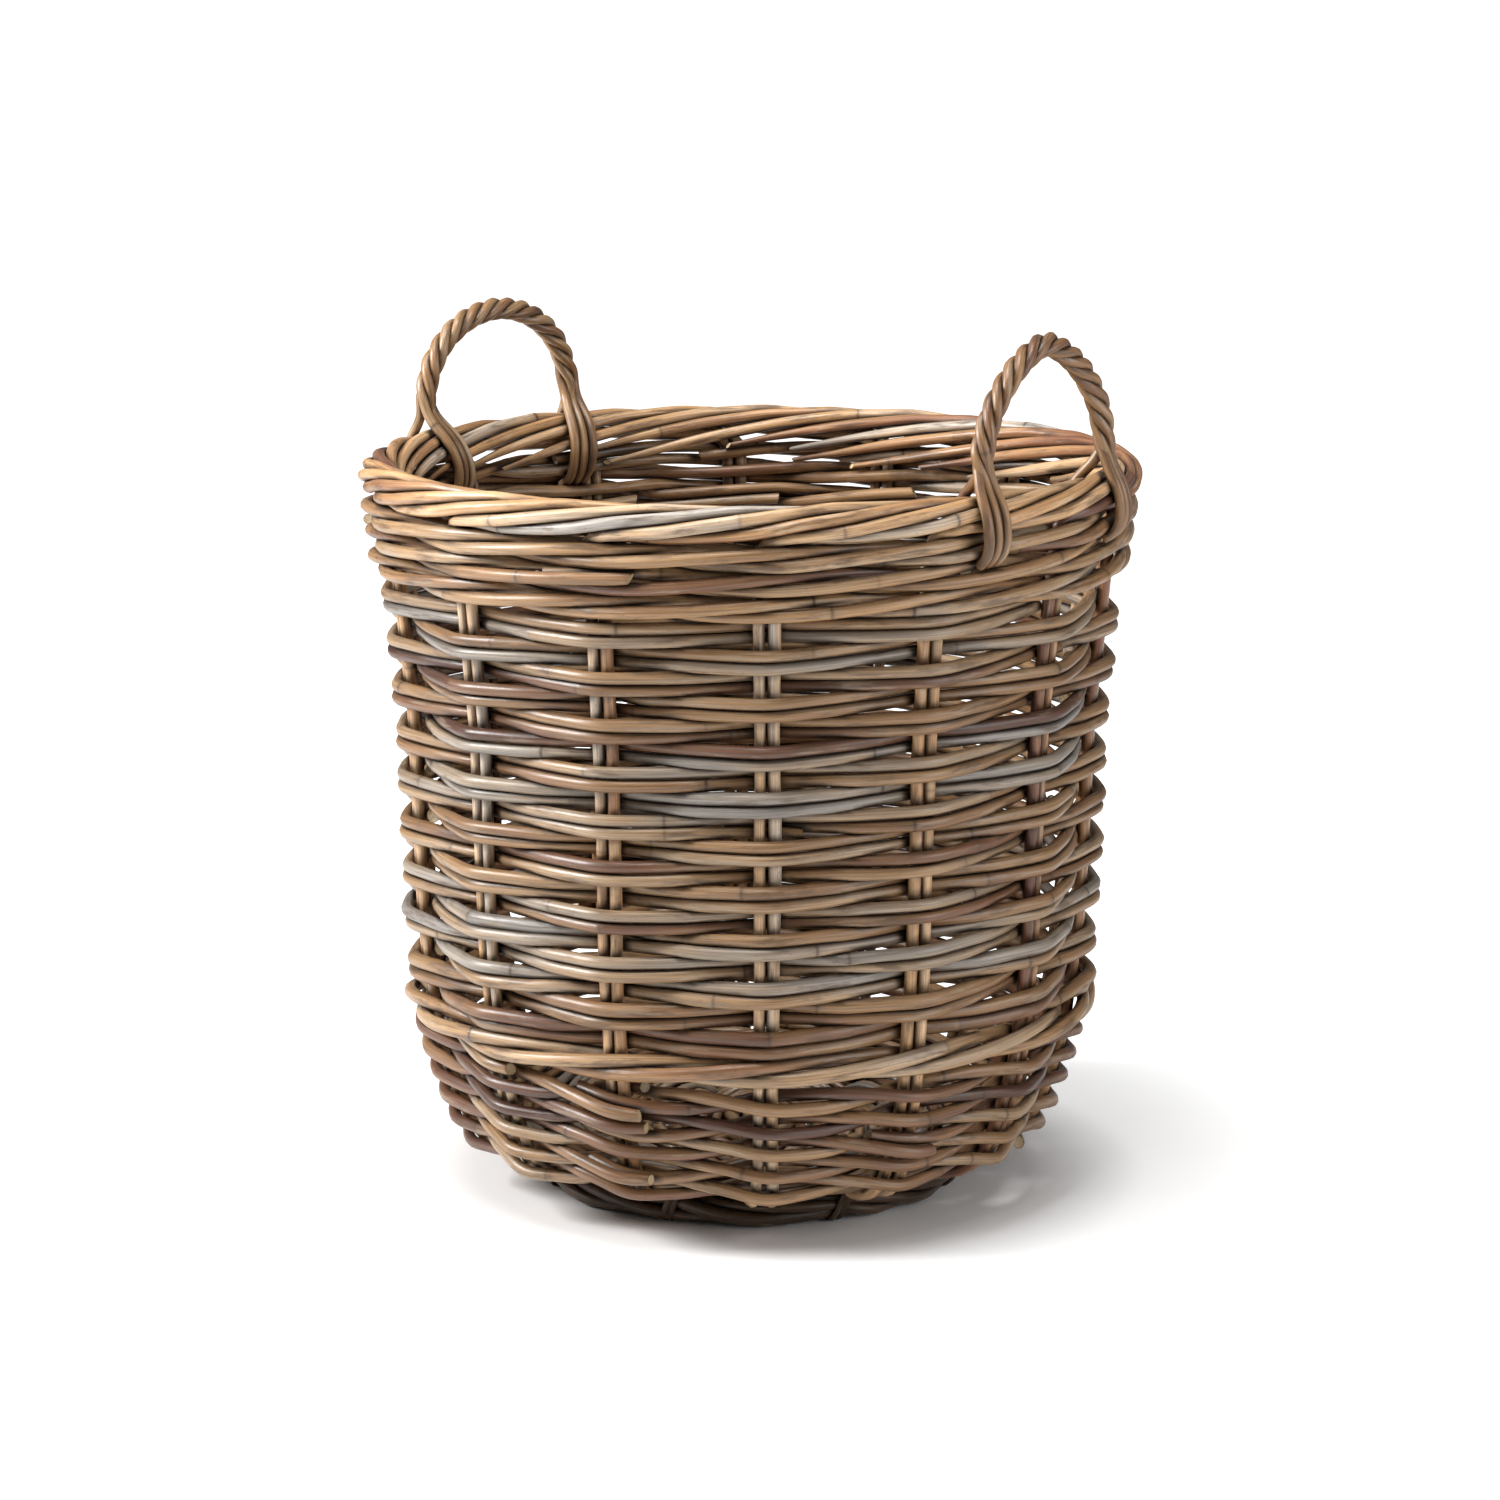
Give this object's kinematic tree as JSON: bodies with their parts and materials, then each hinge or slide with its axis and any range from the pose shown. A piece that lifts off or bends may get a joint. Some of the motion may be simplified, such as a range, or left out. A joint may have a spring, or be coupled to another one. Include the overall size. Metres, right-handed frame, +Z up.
{
  "type": "wicker log basket",
  "caption": "Round woven rattan log basket with an open top, a rolled border, a raised foot ring and two fixed twisted-cane loop handles.",
  "frame": {"origin": "centre of the basket on the surface it stands on", "axes": "+Z up through the open mouth, +X towards one handle, -X towards the other"},
  "size_m": [0.4957, 0.492, 0.5598],
  "materials": {
    "stake_cane": "satin natural rattan cane with its skin on",
    "weaving_cane": "satin natural rattan cane with its skin on",
    "wale_cane": "satin natural rattan cane with its skin on",
    "handle_cane": "satin natural rattan cane with its skin on",
    "tie_cane": "satin natural rattan cane with its skin on",
    "foot_cane": "satin natural rattan cane with its skin on",
    "base_cane": "satin natural rattan cane with its skin on"
  },
  "bodies": {
    "root": {"base_stick_1": "base_cane", "base_stick_2": "base_cane", "base_stick_3": "base_cane", "base_stick_4": "base_cane", "base_stick_5": "base_cane", "base_stick_6": "base_cane", "base_stick_7": "base_cane", "base_weaver_1": "base_cane", "base_weaver_2": "base_cane", "foot_inner_high": "foot_cane", "foot_inner_low": "foot_cane", "foot_outer_high": "foot_cane", "foot_outer_low": "foot_cane", "foot_tie_1": "tie_cane", "foot_tie_2": "tie_cane", "foot_tie_3": "tie_cane", "foot_tie_4": "tie_cane", "foot_tie_5": "tie_cane", "foot_tie_6": "tie_cane", "foot_tie_7": "tie_cane", "foot_tie_8": "tie_cane", "high_wale_cane_1": "wale_cane", "high_wale_cane_2": "wale_cane", "high_wale_cane_3": "wale_cane", "left_handle_cane_1": "handle_cane", "left_handle_cane_2": "handle_cane", "left_handle_cane_3": "handle_cane", "left_handle_cane_4": "handle_cane", "low_wale_cane_1": "wale_cane", "low_wale_cane_2": "wale_cane", "low_wale_cane_3": "wale_cane", "pairing_cane_1": "weaving_cane", "pairing_cane_2": "weaving_cane", "right_handle_cane_1": "handle_cane", "right_handle_cane_2": "handle_cane", "right_handle_cane_3": "handle_cane", "right_handle_cane_4": "handle_cane", "slew_a_cane_1": "weaving_cane", "slew_a_cane_2": "weaving_cane", "slew_a_cane_3": "weaving_cane", "slew_a_cane_4": "weaving_cane", "slew_b_cane_1": "weaving_cane", "slew_b_cane_2": "weaving_cane", "slew_b_cane_3": "weaving_cane", "slew_b_cane_4": "weaving_cane", "stake_pair_01": "stake_cane", "stake_pair_02": "stake_cane", "stake_pair_03": "stake_cane", "stake_pair_04": "stake_cane", "stake_pair_05": "stake_cane", "stake_pair_06": "stake_cane", "stake_pair_07": "stake_cane", "stake_pair_08": "stake_cane", "stake_pair_09": "stake_cane", "stake_pair_10": "stake_cane", "stake_pair_11": "stake_cane", "stake_pair_12": "stake_cane", "stake_pair_13": "stake_cane", "stake_pair_14": "stake_cane"}
  },
  "joints": []
}
